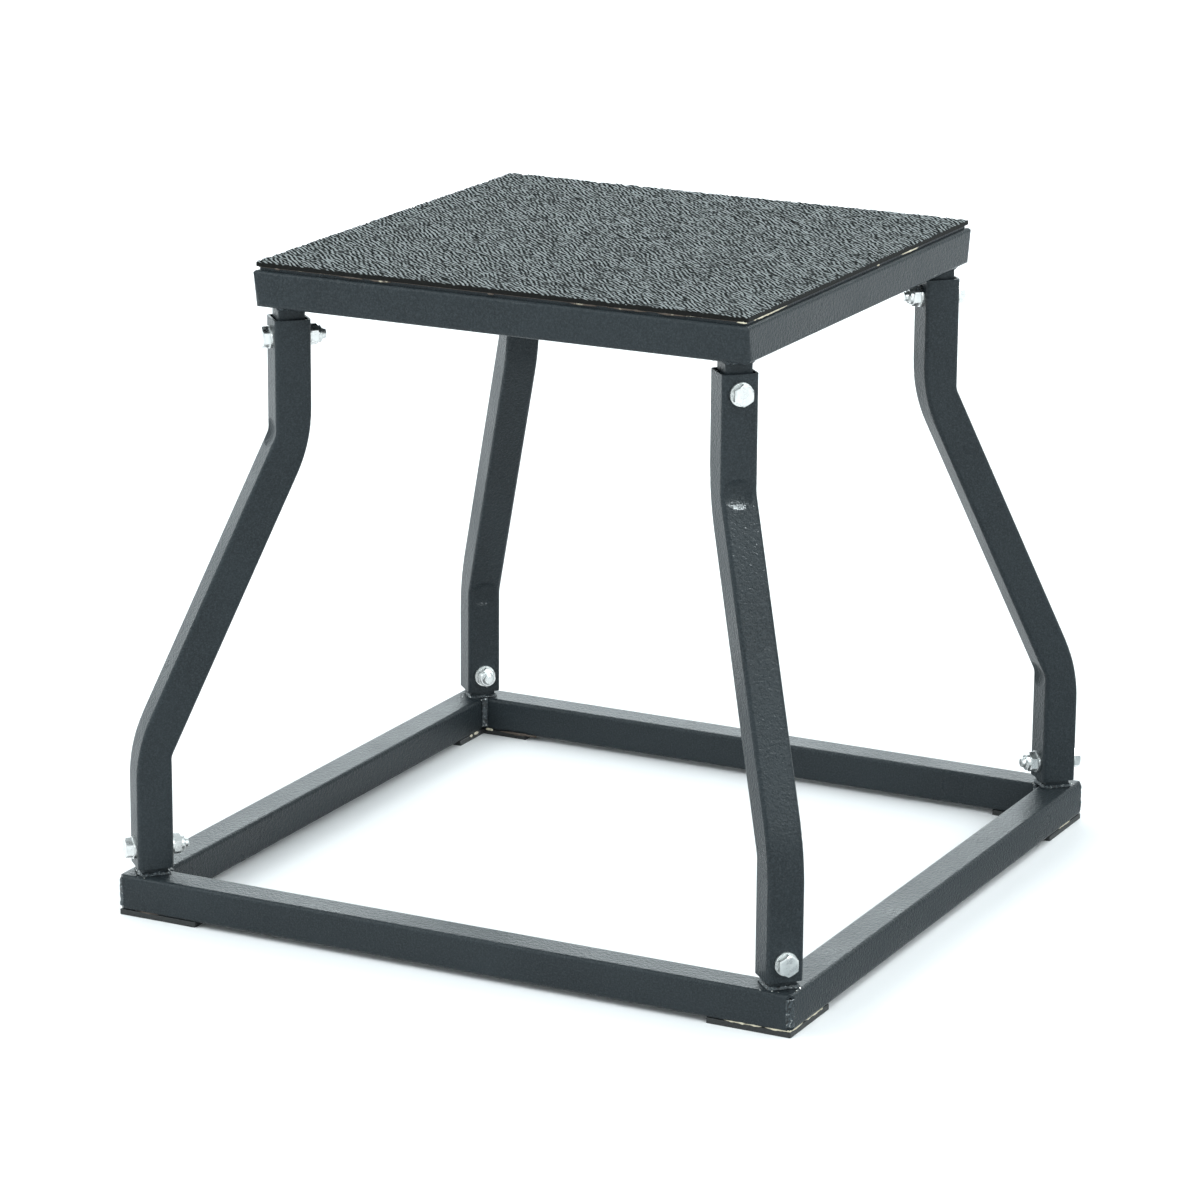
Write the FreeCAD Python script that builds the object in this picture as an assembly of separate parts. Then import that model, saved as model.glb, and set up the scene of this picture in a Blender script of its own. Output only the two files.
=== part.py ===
import FreeCAD, Part
import math
import os

# Plyo box on a bolted steel frame: a square base, four bent legs and a platform with a rubber mat.
# Millimetres. The origin is on the floor under the middle of the box, X to the right, Y to the rear, Z up.

# Overall sizes
HEIGHT = 457.2              # floor to the top of the mat
BASE_SIDE = 515.0           # outer side of the square base frame
PLATFORM_SIDE = 371.0       # outer side of the square platform frame

# Square tube of both frames
RAIL = 25.4
RAIL_WALL = 1.5
RAIL_ROUND = 3.0            # outer radius of the tube's long edges
GROUND_TOP = 1.2            # platform's upright corners, ground round: radius at the top
GROUND_BOTTOM = 7.5         # radius at the bottom, where the grinder went deeper
GRAZE = 0.05                # how far the grinder's curve stays off the rails' flat faces

# Deck, from the platform rails up
SHEET_THICKNESS = 2.0
SHEET_INSET = 3.2           # rail's outer face to the edge of the steel sheet
ADHESIVE_THICKNESS = 0.5
ADHESIVE_INSET = 2.4        # rail's outer face to the edge of the glue
MAT_THICKNESS = 3.6
MAT_INSET = 1.5             # rail's outer face to the cut edge of the mat
DECK_CORNER = 2.0           # corner radius of sheet, glue and mat

# Legs: square tube turned to the diagonals and bent twice
LEG = 25.4
LEG_WALL = 1.5
LEG_ROUND = 3.0
LEG_STRAIGHT = 83.0         # open end to the point where the straight centre lines would cross
STRETCHED_BEND = 110.0      # outside of a bend, drawn out into a wide curve
CREASED_BEND = 12.0         # hollow side of a bend, folded sharply by the press
LOWER_GAP = 5.5             # base rail to the leg's lower end
UPPER_GAP = 8.6             # leg's upper end to the platform rail

# Dent left by the nose of the bending punch on the hollow side of each bend
DENT_DEPTH = 2.2
NOSE_RADIUS = 14.0
NOSE_CROWN = 24.0           # the nose is barrel shaped, so the dent fades towards the tube's edges
NOSE_TILT = 8.0             # degrees that the press leans, which makes one half of a dent deeper

# Stubs that the legs slide over
SLEEVE_CLEARANCE = 1.7      # leg's inner wall to the stub, each side
STUB_WALL = 2.0
STUB_ROUND = 2.0
STUB_PAST_BOLT = 20.0       # how far a stub reaches beyond its bolt
STUB_INWARD = 7.0           # stub's axis to the middle of the mitre joint, towards the centre

# Foot pads
FOOT_THICKNESS = 4.0
FOOT_ARM = 61.0             # length of each arm of the L
FOOT_INSET = 0.8            # rail's faces to the edges of the pad

# Weld beads
CORNER_STRIP = 4.4          # flat cut off the base's upright corners for the outer bead
STRIP_CROWN = 1.3
BEAD_LEG = 4.0              # leg of the fillet beads inside the frames
BEAD_CROWN = 0.8
STUB_BEAD = 2.2             # leg of the bead round a stub
STUB_BEAD_TIP = 0.3         # what is left of it at its upper edge
STITCH_LENGTH = 25.0        # beads under the deck sheet
STITCH_SPACING = 160.0

# Bolts, washers and lock nuts
BOLT_DIAMETER = 8.0
BOLT_FROM_END = 13.0        # leg's end to the bolt's axis
BOLT_TAIL = 3.4             # bolt showing past the nut
BOLT_POINT = 0.8            # chamfer of the bolt's end
HOLE_CLEARANCE = 0.25       # radial, in legs and stubs
HEX_FLATS = 13.0            # across the flats of bolt head and nut
HEX_EDGE = 0.3              # middle of a flat to the rim of the chamfer
HEX_CHAMFER = 30.0          # degrees
HEAD_HEIGHT = 5.3
WASHER_DIAMETER = 16.0
WASHER_THICKNESS = 1.6
WASHER_CLEARANCE = 0.2      # radial, washer on bolt
NUT_HEX_HEIGHT = 5.6
NUT_COLLAR = 2.4            # round collar over the hexagon, which holds the nylon ring
COLLAR_STEP = 0.45          # middle of a flat to the collar
COLLAR_LIP = 0.5            # rim rolled over the ring
THREAD_CLEARANCE = 0.05     # radial, nut and ring on bolt
RING_WALL = 1.2
RING_CLEARANCE = 0.05       # radial, nylon ring in its collar

# Heights and places that follow from the sizes above
BASE_TOP = FOOT_THICKNESS + RAIL
PLATFORM_TOP = HEIGHT - MAT_THICKNESS - ADHESIVE_THICKNESS - SHEET_THICKNESS
PLATFORM_UNDERSIDE = PLATFORM_TOP - RAIL
LEG_BOTTOM = BASE_TOP + LOWER_GAP
LEG_TOP = PLATFORM_UNDERSIDE - UPPER_GAP
LOWER_BOLT = LEG_BOTTOM + BOLT_FROM_END
UPPER_BOLT = LEG_TOP - BOLT_FROM_END
GROUND_STRIP = max(GROUND_TOP, GROUND_BOTTOM)  # flat on the platform's corners for the bead that is ground
STUB = LEG - 2 * LEG_WALL - 2 * SLEEVE_CLEARANCE
BOLT_RADIUS = BOLT_DIAMETER / 2
BRACE_LENGTH = PLATFORM_SIDE - 2 * RAIL
LEAST_ROUND = 0.3           # inside radius of a tube whose wall is thicker than its outer radius
NOTHING = 0.001             # a length below this counts as none

Vector = FreeCAD.Vector
UP = Vector(0, 0, 1)
ACROSS = Vector(0, 1, 0)
CENTRE = Vector(0, 0, 0)
SIDES = {"front": 0, "right": 90, "rear": 180, "left": 270}
CORNERS = {"rear_right": 45, "rear_left": 135, "front_left": 225, "front_right": 315}


def stub_radius(frame_side):
    """Distance from the middle of the box to a stub's axis, along the diagonal."""
    return (frame_side - RAIL) * math.sqrt(0.5) - STUB_INWARD


LOWER_RADIUS = stub_radius(BASE_SIDE)
UPPER_RADIUS = stub_radius(PLATFORM_SIDE)


def moved(shape, x=0.0, y=0.0, z=0.0):
    """Copy of a shape, shifted."""
    copy = shape.copy()
    copy.translate(Vector(x, y, z))
    return copy


def turned(shape, degrees, axis=UP, centre=CENTRE):
    """Copy of a shape, turned about an axis."""
    copy = shape.copy()
    copy.rotate(centre, axis, degrees)
    return copy


def rounded_square(side, rounding):
    """Face of a square with rounded corners, centred on the origin in the XY plane."""
    half = side / 2
    flat = half - rounding
    diagonal = flat + rounding * math.sqrt(0.5)
    line = Part.LineSegment(Vector(half, -flat, 0), Vector(half, flat, 0)).toShape()
    arc = Part.Arc(Vector(half, flat, 0), Vector(diagonal, diagonal, 0), Vector(flat, half, 0)).toShape()
    edges = [turned(edge, quarter * 90) for quarter in range(4) for edge in (line, arc)]
    return Part.Face(Part.Wire(edges))


def inner_round(wall, rounding):
    """Radius of the long edges inside a square tube."""
    return max(rounding - wall, LEAST_ROUND)


def inner_square(side, wall, rounding):
    """Face of the hollow inside a square tube."""
    return rounded_square(side - 2 * wall, inner_round(wall, rounding))


def upright_tube(side, wall, rounding, length):
    """Square tube standing on the origin."""
    outside = rounded_square(side, rounding).extrude(UP * length)
    inside = inner_square(side, wall, rounding).extrude(UP * length)
    return outside.cut(inside)


def laid_down(shape, length):
    """Upright piece laid along X, centred on the origin."""
    return turned(moved(shape, z=-length / 2), 90, ACROSS)


def lying_tube(length):
    """Frame tube along X, centred on the origin."""
    return laid_down(upright_tube(RAIL, RAIL_WALL, RAIL_ROUND, length), length)


def slab(face, bottom, thickness):
    """Flat piece of a given outline."""
    return moved(face.extrude(UP * thickness), z=bottom)


def polygon(points):
    """Face with straight sides in the XY plane."""
    corners = [Vector(x, y, 0) for x, y in points]
    return Part.Face(Part.makePolygon(corners + corners[:1]))


# Frames

def mitred_side(bar, frame_side, underside):
    """Front member of a square frame, cut to its mitres."""
    clear = frame_side / 2 + RAIL
    quarter = polygon([(0, 0), (-clear, -clear), (clear, -clear)])
    seated = moved(bar, y=-(frame_side - RAIL) / 2, z=underside + RAIL / 2)
    return seated.common(slab(quarter, underside - RAIL, 3 * RAIL))


def corner_wedges(frame_side, underside, corner_strip):
    """What is cut off a frame's upright corners to leave flats, reaching well past the frame's other faces."""
    start = frame_side / 2 - corner_strip - RAIL
    clear = frame_side / 2 + RAIL
    wedge = polygon([(start, clear), (clear, start), (clear, clear)])
    return four_corners(slab(wedge, underside - RAIL, 3 * RAIL))


def front_rail(frame_side, underside, corner_strip):
    """Front rail of a square frame, mitred, with flats where the corners are welded."""
    rail = mitred_side(lying_tube(frame_side), frame_side, underside)
    return rail.cut(corner_wedges(frame_side, underside, corner_strip))


def all_sides(front):
    """Front member of a frame and its copies on the other sides, keyed by side."""
    return {side: turned(front, angle) for side, angle in SIDES.items()}


def fillet_bead(leg, crown, length):
    """Weld bead along Z in the corner between the XZ and YZ planes."""
    middle = leg / 2 + crown * math.sqrt(0.5)
    ends = Vector(leg, 0, 0), Vector(0, leg, 0)
    edges = [Part.LineSegment(CENTRE, ends[0]).toShape(),
             Part.Arc(ends[0], Vector(middle, middle, 0), ends[1]).toShape(),
             Part.LineSegment(ends[1], CENTRE).toShape()]
    return Part.Face(Part.Wire(edges)).extrude(UP * length)


def four_corners(shape):
    """Copies of a shape at the four quarter turns."""
    return [turned(shape, quarter * 90) for quarter in range(4)]


def base_corner_welds():
    """A strip up each outer corner of the base and a fillet up each inner corner."""
    height = RAIL - 2 * RAIL_ROUND
    half_width = CORNER_STRIP * math.sqrt(0.5)
    seat = BASE_SIDE * math.sqrt(0.5) - half_width
    foot, head = Vector(seat, -half_width, 0), Vector(seat, half_width, 0)
    edges = [Part.LineSegment(head, foot).toShape(),
             Part.Arc(foot, Vector(seat + STRIP_CROWN, 0, 0), head).toShape()]
    strip = slab(Part.Face(Part.Wire(edges)), FOOT_THICKNESS + RAIL_ROUND, height)
    inside = turned(fillet_bead(BEAD_LEG, BEAD_CROWN, RAIL - RAIL_ROUND), 180)
    corner = BASE_SIDE / 2 - RAIL
    inside = moved(inside, corner, corner, FOOT_THICKNESS + RAIL_ROUND)
    return four_corners(turned(strip, CORNERS["rear_right"])) + four_corners(inside)


def grinder_path(radius, height):
    """Outline of what the grinder takes off the rear right corner of the platform."""
    reach = PLATFORM_SIDE / 2 + GRAZE
    start = reach - radius
    middle = start + radius * math.sqrt(0.5)
    clear = reach + RAIL
    points = [Vector(start, reach, height), Vector(start, clear, height), Vector(clear, clear, height),
              Vector(clear, start, height), Vector(reach, start, height)]
    edges = [Part.LineSegment(*pair).toShape() for pair in zip(points, points[1:])]
    edges.append(Part.Arc(points[-1], Vector(middle, middle, height), points[0]).toShape())
    return Part.Wire(edges)


def platform_corner_welds():
    """Bead up each outer corner of the platform, ground flush with the rails and rounder at the bottom."""
    bar = laid_down(rounded_square(RAIL, RAIL_ROUND).extrude(UP * PLATFORM_SIDE), PLATFORM_SIDE)
    sides = four_corners(mitred_side(bar, PLATFORM_SIDE, PLATFORM_UNDERSIDE))
    ring = sides[0].multiFuse(sides[1:]).removeSplitter()
    bead = ring.common(corner_wedges(PLATFORM_SIDE, PLATFORM_UNDERSIDE, GROUND_STRIP)[0])
    paths = [grinder_path(GROUND_BOTTOM, PLATFORM_UNDERSIDE), grinder_path(GROUND_TOP, PLATFORM_TOP)]
    return four_corners(bead.cut(Part.makeLoft(paths, True, True)).Solids[0])


def platform_frame_welds():
    """A fillet up each inner corner of the platform frame and beside each end of the brace."""
    corner = PLATFORM_SIDE / 2 - RAIL
    inside = turned(fillet_bead(BEAD_LEG, BEAD_CROWN, RAIL - RAIL_ROUND), 180)
    beads = four_corners(moved(inside, corner, corner, PLATFORM_UNDERSIDE))
    beside = fillet_bead(BEAD_LEG, BEAD_CROWN, RAIL - 2 * RAIL_ROUND)
    for turn, y in ((90, RAIL / 2), (180, -RAIL / 2)):
        bead = moved(turned(beside, turn), corner, y, PLATFORM_UNDERSIDE + RAIL_ROUND)
        beads += [bead, turned(bead, 180)]
    return beads


def deck_stitch_welds():
    """Short fillets between the deck sheet and the inner faces of the platform rails."""
    leg = RAIL_ROUND + BEAD_LEG
    bead = fillet_bead(leg, BEAD_CROWN, STITCH_LENGTH)
    under_front = FreeCAD.Rotation(ACROSS, Vector(0, 0, -1), Vector(-1, 0, 0), "XYZ")
    stitches = []
    for side in (-1, 1):
        start = Vector((side * STITCH_SPACING + STITCH_LENGTH) / 2, RAIL - PLATFORM_SIDE / 2, PLATFORM_TOP)
        stitch = bead.copy()
        stitch.Placement = FreeCAD.Placement(start, under_front)
        stitches += four_corners(stitch)
    return stitches


# Stubs and legs, built along the +X diagonal and turned to their corners afterwards

def bolt_hole(radius, height):
    """Cutter for a bolt's holes through leg and stub."""
    start = Vector(radius - LEG, 0, height)
    return Part.makeCylinder(BOLT_RADIUS + HOLE_CLEARANCE, 2 * LEG, start, Vector(1, 0, 0))


def stub_tube(radius, foot, tip, bolt):
    """Stub from the frame that carries it to its open tip."""
    tube = upright_tube(STUB, STUB_WALL, STUB_ROUND, abs(tip - foot))
    return moved(tube, radius, 0, min(foot, tip)).cut(bolt_hole(radius, bolt))


def stub_weld(radius, foot, direction):
    """Bead round the foot of a stub, tapering along it."""
    wide = rounded_square(STUB + 2 * STUB_BEAD, STUB_ROUND + STUB_BEAD).OuterWire
    slim = rounded_square(STUB + 2 * STUB_BEAD_TIP, STUB_ROUND + STUB_BEAD_TIP).OuterWire
    slim = moved(slim, z=direction * STUB_BEAD)
    hill = Part.makeLoft([wide, slim], True, True)
    inside = rounded_square(STUB, STUB_ROUND).extrude(UP * direction * STUB_BEAD)
    return moved(hill.cut(inside), radius, 0, foot)


def leg_lean():
    """Lean of the leg's middle run, in radians."""
    return math.atan2(LOWER_RADIUS - UPPER_RADIUS, LEG_TOP - LEG_BOTTOM - 2 * LEG_STRAIGHT)


def bisector():
    """Direction that halves the bends, outwards and up."""
    half_lean = leg_lean() / 2
    return Vector(math.cos(half_lean), 0, math.sin(half_lean))


def side_corners(offset):
    """Points of one side of the leg from the bottom up, its bends left sharp."""
    rise = offset * math.tan(leg_lean() / 2)
    lower, upper = LOWER_RADIUS + offset, UPPER_RADIUS + offset
    return [Vector(lower, 0, LEG_BOTTOM), Vector(lower, 0, LEG_BOTTOM + LEG_STRAIGHT + rise),
            Vector(upper, 0, LEG_TOP - LEG_STRAIGHT + rise), Vector(upper, 0, LEG_TOP)]


def bent_side(offset, lower_bend, upper_bend):
    """Edges of one side of the leg from the bottom up, its bends rounded."""
    foot, knee, neck, head = side_corners(offset)
    half_lean = leg_lean() / 2
    along = (neck - knee).normalize()
    low_back, high_back = lower_bend * math.tan(half_lean), upper_bend * math.tan(half_lean)
    low_pull = bisector() * lower_bend * (1 / math.cos(half_lean) - 1)
    high_pull = bisector() * upper_bend * (1 / math.cos(half_lean) - 1)
    low_start, low_end = knee - UP * low_back, knee + along * low_back
    high_start, high_end = neck - along * high_back, neck + UP * high_back
    return [Part.LineSegment(foot, low_start).toShape(),
            Part.Arc(low_start, knee - low_pull, low_end).toShape(),
            Part.LineSegment(low_end, high_start).toShape(),
            Part.Arc(high_start, neck + high_pull, high_end).toShape(),
            Part.LineSegment(high_end, head).toShape()]


def bent_bar(width, rounding, stretched, creased):
    """Square bar after both press bends, drawn as an outline in its plane and rounded along its edges."""
    outer = bent_side(width / 2, stretched, creased)
    inner = bent_side(-width / 2, creased, stretched)
    inner_points, outer_points = side_corners(-width / 2), side_corners(width / 2)
    top = Part.LineSegment(outer_points[-1], inner_points[-1]).toShape()
    bottom = Part.LineSegment(inner_points[0], outer_points[0]).toShape()
    outline = Part.Face(Part.Wire(outer + [top] + inner[::-1] + [bottom]))
    bar = moved(outline.extrude(ACROSS * width), y=-width / 2)
    boxes = [(edge, edge.BoundBox) for edge in bar.Edges]
    long_edges = [edge for edge, box in boxes if box.YLength < NOTHING < box.ZLength]
    return bar.makeFillet(rounding, long_edges)


def punch_noses(offset):
    """Barrel-shaped punch at both bends, grown by an offset."""
    radius = NOSE_RADIUS + offset
    crown = NOSE_CROWN + offset
    rim = radius / 2
    half_width = math.sqrt(crown ** 2 - (crown - radius + rim) ** 2)
    start, end = Vector(0, -half_width, 0), Vector(0, half_width, 0)
    rim_start, rim_end = Vector(rim, -half_width, 0), Vector(rim, half_width, 0)
    edges = [Part.LineSegment(start, rim_start).toShape(),
             Part.Arc(rim_start, Vector(radius, 0, 0), rim_end).toShape(),
             Part.LineSegment(rim_end, end).toShape(),
             Part.LineSegment(end, start).toShape()]
    barrel = turned(Part.Face(Part.Wire(edges)).revolve(CENTRE, ACROSS, 360), -NOSE_TILT)
    fold = CREASED_BEND * (1 / math.cos(leg_lean() / 2) - 1)
    aim = bisector() * (DENT_DEPTH - NOSE_RADIUS - fold)
    low = side_corners(-LEG / 2)[1] + aim
    high = side_corners(LEG / 2)[2] - aim
    return [moved(barrel, low.x, 0, low.z), moved(barrel, high.x, 0, high.z)]


def leg_tube():
    """Bent leg: the wall follows the dents, so the hollow narrows where the outside is pressed in."""
    outside = bent_bar(LEG, LEG_ROUND, STRETCHED_BEND, CREASED_BEND).cut(punch_noses(0))
    bore = bent_bar(LEG - 2 * LEG_WALL, inner_round(LEG_WALL, LEG_ROUND), STRETCHED_BEND - LEG_WALL,
                    CREASED_BEND + LEG_WALL)
    holes = [bolt_hole(LOWER_RADIUS, LOWER_BOLT), bolt_hole(UPPER_RADIUS, UPPER_BOLT)]
    return outside.cut([bore.cut(punch_noses(LEG_WALL))] + holes)


# Fasteners, built on the Z axis with their seat at the origin

def turned_profile(points):
    """Solid turned about Z from points given as radius and height."""
    outline = [Vector(radius, 0, height) for radius, height in points]
    return Part.Face(Part.makePolygon(outline + outline[:1])).revolve(CENTRE, UP, 360)


def chamfered_hexagon(height):
    """Hexagon with its upper corners turned off."""
    corner = HEX_FLATS / math.sqrt(3)
    crown = HEX_FLATS / 2 - HEX_EDGE
    angles = [math.tau * sixth / 6 for sixth in range(6)]
    points = [(corner * math.cos(angle), corner * math.sin(angle)) for angle in angles]
    drop = (corner - crown) * math.tan(math.radians(HEX_CHAMFER))
    blank = turned_profile([(0, 0), (corner, 0), (corner, height - drop), (crown, height), (0, height)])
    return polygon(points).extrude(UP * height).common(blank)


def bolt():
    """Hex bolt, head up, with a chamfered end."""
    length = LEG + 2 * WASHER_THICKNESS + NUT_HEX_HEIGHT + NUT_COLLAR + BOLT_TAIL
    point = BOLT_RADIUS - BOLT_POINT
    shank = turned_profile([(0, 0), (BOLT_RADIUS, 0), (BOLT_RADIUS, BOLT_POINT - length), (point, -length),
                            (0, -length)])
    return chamfered_hexagon(HEAD_HEIGHT).fuse(shank).removeSplitter()


def washer():
    """Flat washer."""
    bore = BOLT_RADIUS + WASHER_CLEARANCE
    rim = WASHER_DIAMETER / 2
    return turned_profile([(bore, 0), (rim, 0), (rim, WASHER_THICKNESS), (bore, WASHER_THICKNESS)])


def lock_nut():
    """Hexagon nut with a round collar that is rolled over its nylon ring."""
    bore = BOLT_RADIUS + THREAD_CLEARANCE
    seat = bore + RING_WALL + RING_CLEARANCE
    rim = HEX_FLATS / 2 - COLLAR_STEP
    top = NUT_HEX_HEIGHT + NUT_COLLAR
    collar = turned_profile([(0, 0), (rim, 0), (rim, top - COLLAR_LIP), (rim - COLLAR_LIP, top), (0, top)])
    hollow = turned_profile([(0, 0), (bore, 0), (bore, NUT_HEX_HEIGHT), (seat, NUT_HEX_HEIGHT),
                             (seat, top - COLLAR_LIP), (seat - RING_WALL / 2, top), (0, top)])
    return chamfered_hexagon(NUT_HEX_HEIGHT).fuse(collar).cut(hollow)


def nylon_ring():
    """Locking ring inside the nut's collar."""
    bore = BOLT_RADIUS + THREAD_CLEARANCE
    rim = bore + RING_WALL
    top = NUT_HEX_HEIGHT + NUT_COLLAR - COLLAR_LIP
    return turned_profile([(bore, NUT_HEX_HEIGHT), (rim, NUT_HEX_HEIGHT), (rim, top), (bore, top)])


def on_leg(shape, radius, height, side, lift=0.0):
    """Fastener on the outward (side 1) or inward (side -1) face of the leg on the +X diagonal."""
    seated = turned(moved(shape, z=LEG / 2 + lift), 90 * side, ACROSS)
    return moved(seated, radius, 0, height)


def all_corners(shape):
    """Copies of a piece of the +X diagonal at the four corners."""
    return [turned(shape, angle) for angle in CORNERS.values()]


def both_ends(shape, side, lift=0.0):
    """Copies of a fastener at both ends of all four legs."""
    lower = on_leg(shape, LOWER_RADIUS, LOWER_BOLT, side, lift)
    upper = on_leg(shape, UPPER_RADIUS, UPPER_BOLT, side, lift)
    return all_corners(lower) + all_corners(upper)


# Foot pads

def foot_pad():
    """L-shaped pad under the rear right corner of the base."""
    outer = BASE_SIDE / 2 - FOOT_INSET
    inner = BASE_SIDE / 2 - RAIL + FOOT_INSET
    end = outer - FOOT_ARM
    outline = polygon([(outer, outer), (end, outer), (end, inner),
                       (inner, inner), (inner, end), (outer, end)])
    return slab(outline, 0, FOOT_THICKNESS)


def build():
    """Every piece of the box as lists of solids, keyed by node."""
    nodes = {}
    base_rail = front_rail(BASE_SIDE, FOOT_THICKNESS, CORNER_STRIP)
    for side, solid in all_sides(base_rail).items():
        nodes[f"base_{side}_rail"] = [solid]
    platform_rail = front_rail(PLATFORM_SIDE, PLATFORM_UNDERSIDE, GROUND_STRIP)
    for side, solid in all_sides(platform_rail).items():
        nodes[f"platform_{side}_rail"] = [solid]
    nodes["platform_brace"] = [moved(lying_tube(BRACE_LENGTH), z=PLATFORM_TOP - RAIL / 2)]
    sheet = rounded_square(PLATFORM_SIDE - 2 * SHEET_INSET, DECK_CORNER)
    glue = rounded_square(PLATFORM_SIDE - 2 * ADHESIVE_INSET, DECK_CORNER)
    mat = rounded_square(PLATFORM_SIDE - 2 * MAT_INSET, DECK_CORNER)
    nodes["deck_sheet"] = [slab(sheet, PLATFORM_TOP, SHEET_THICKNESS)]
    nodes["mat_adhesive"] = [slab(glue, PLATFORM_TOP + SHEET_THICKNESS, ADHESIVE_THICKNESS)]
    nodes["rubber_mat"] = [slab(mat, HEIGHT - MAT_THICKNESS, MAT_THICKNESS)]

    leg = leg_tube()
    lower_stub = stub_tube(LOWER_RADIUS, BASE_TOP, LOWER_BOLT + STUB_PAST_BOLT, LOWER_BOLT)
    upper_stub = stub_tube(UPPER_RADIUS, PLATFORM_UNDERSIDE, UPPER_BOLT - STUB_PAST_BOLT, UPPER_BOLT)
    pad = foot_pad()
    for corner, angle in CORNERS.items():
        nodes[f"leg_{corner}"] = [turned(leg, angle)]
        nodes[f"lower_stub_{corner}"] = [turned(lower_stub, angle)]
        nodes[f"upper_stub_{corner}"] = [turned(upper_stub, angle)]
        nodes[f"foot_pad_{corner}"] = [turned(pad, angle - CORNERS["rear_right"])]

    nodes["base_corner_welds"] = base_corner_welds()
    nodes["platform_corner_welds"] = platform_corner_welds()
    nodes["platform_frame_welds"] = platform_frame_welds()
    nodes["deck_stitch_welds"] = deck_stitch_welds()
    nodes["lower_stub_welds"] = all_corners(stub_weld(LOWER_RADIUS, BASE_TOP, 1))
    nodes["upper_stub_welds"] = all_corners(stub_weld(UPPER_RADIUS, PLATFORM_UNDERSIDE, -1))

    screw = bolt()
    nodes["lower_leg_bolts"] = all_corners(on_leg(screw, LOWER_RADIUS, LOWER_BOLT, 1, WASHER_THICKNESS))
    nodes["upper_leg_bolts"] = all_corners(on_leg(screw, UPPER_RADIUS, UPPER_BOLT, 1, WASHER_THICKNESS))
    nodes["outer_washers"] = both_ends(washer(), 1)
    nodes["inner_washers"] = both_ends(washer(), -1)
    nodes["lock_nuts"] = both_ends(lock_nut(), -1, WASHER_THICKNESS)
    nodes["nut_nylon_rings"] = both_ends(nylon_ring(), -1, WASHER_THICKNESS)
    return nodes


os.makedirs("parts", exist_ok=True)
for node, solids in build().items():
    shape = solids[0] if len(solids) == 1 else Part.makeCompound(solids)
    shape.exportStep(f"parts/{node}.step")
    print(f"{node}: {len(shape.Solids)} solids, {shape.Volume:.1f} mm3, valid {shape.isValid()}")
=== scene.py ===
import math
import random

import bpy
from bpy.props import (FloatProperty, FloatVectorProperty, IntProperty,
                       PointerProperty)
from mathutils import Matrix, Vector


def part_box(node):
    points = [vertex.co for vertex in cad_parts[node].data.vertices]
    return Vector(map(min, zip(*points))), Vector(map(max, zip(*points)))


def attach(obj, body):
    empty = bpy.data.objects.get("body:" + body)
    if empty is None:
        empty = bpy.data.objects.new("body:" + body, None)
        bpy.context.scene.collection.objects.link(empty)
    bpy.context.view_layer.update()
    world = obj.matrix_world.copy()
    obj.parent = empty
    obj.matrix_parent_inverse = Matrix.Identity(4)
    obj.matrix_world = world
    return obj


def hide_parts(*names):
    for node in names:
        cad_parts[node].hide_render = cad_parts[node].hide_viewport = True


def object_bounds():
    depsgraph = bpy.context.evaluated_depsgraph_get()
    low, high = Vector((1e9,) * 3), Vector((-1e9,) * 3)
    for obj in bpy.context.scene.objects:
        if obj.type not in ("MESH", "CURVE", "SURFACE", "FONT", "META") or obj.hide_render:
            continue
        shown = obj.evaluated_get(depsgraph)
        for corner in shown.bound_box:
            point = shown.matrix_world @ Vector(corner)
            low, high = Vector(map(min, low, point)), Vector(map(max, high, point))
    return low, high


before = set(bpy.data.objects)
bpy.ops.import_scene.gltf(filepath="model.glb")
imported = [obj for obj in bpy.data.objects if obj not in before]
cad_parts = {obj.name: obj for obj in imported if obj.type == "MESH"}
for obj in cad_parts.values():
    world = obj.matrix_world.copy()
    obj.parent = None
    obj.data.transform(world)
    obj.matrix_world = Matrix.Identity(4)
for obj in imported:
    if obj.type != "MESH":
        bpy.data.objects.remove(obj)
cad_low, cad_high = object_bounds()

bl_info = {
    "name": "Plyo Box",
    "version": (1, 0, 0),
    "blender": (4, 5, 0),
    "location": "View3D > Sidebar > Plyo Box",
    "description": "Dresses the welded frame of a plyo box with coat, mat, welds, glue and fasteners",
    "category": "Add Mesh",
}

BODY = "root"
FINISHED = "_finished"
SIDES = ("front", "right", "rear", "left")
CORNERS = {"rear_right": (1, 1), "rear_left": (-1, 1), "front_left": (-1, -1), "front_right": (1, -1)}
MERGE_DISTANCE = 1e-6
BEAD_STEP = 0.001
BEAD_SEGMENTS = 12
FEWEST_RINGS = 8
SMOOTH_ANGLE = math.radians(32)
FLAT_FACE_WEIGHT = 80


# Settings that a user would change

def length_setting(label, text, default):
    """A length in metres."""
    return FloatProperty(name=label, description=text, default=default, unit="LENGTH", precision=5)


def colour_setting(label, text, default):
    """A colour in linear light."""
    return FloatVectorProperty(name=label, description=text, default=default, subtype="COLOR", size=3,
                               min=0.0, max=1.0)


def share_setting(label, text, default, top=1.0):
    """A plain number from nought up."""
    return FloatProperty(name=label, description=text, default=default, min=0.0, max=top)


def angle_setting(label, text, degrees):
    """An angle, given in degrees and kept in radians."""
    return FloatProperty(name=label, description=text, default=math.radians(degrees), subtype="ANGLE")


def power_setting(label, text, default):
    """A lamp's power."""
    return FloatProperty(name=label, description=text, default=default, min=0.0, subtype="POWER")


class PLYO_PG_coat(bpy.types.PropertyGroup):
    """Powder coat on the welded steel"""
    body: colour_setting("Coat", "Body colour of the powder coat", (0.0205, 0.0262, 0.0298))
    fleck: colour_setting("Fleck", "Lighter grain in the coat", (0.040, 0.048, 0.053))
    grain: length_setting("Grain", "Size of the coat's sandy grain", 0.0011)
    roughness: share_setting("Roughness", "How matt the coat is", 0.30)
    gloss: share_setting("Gloss", "Strength of the coat's reflection, face on", 0.18)


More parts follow.
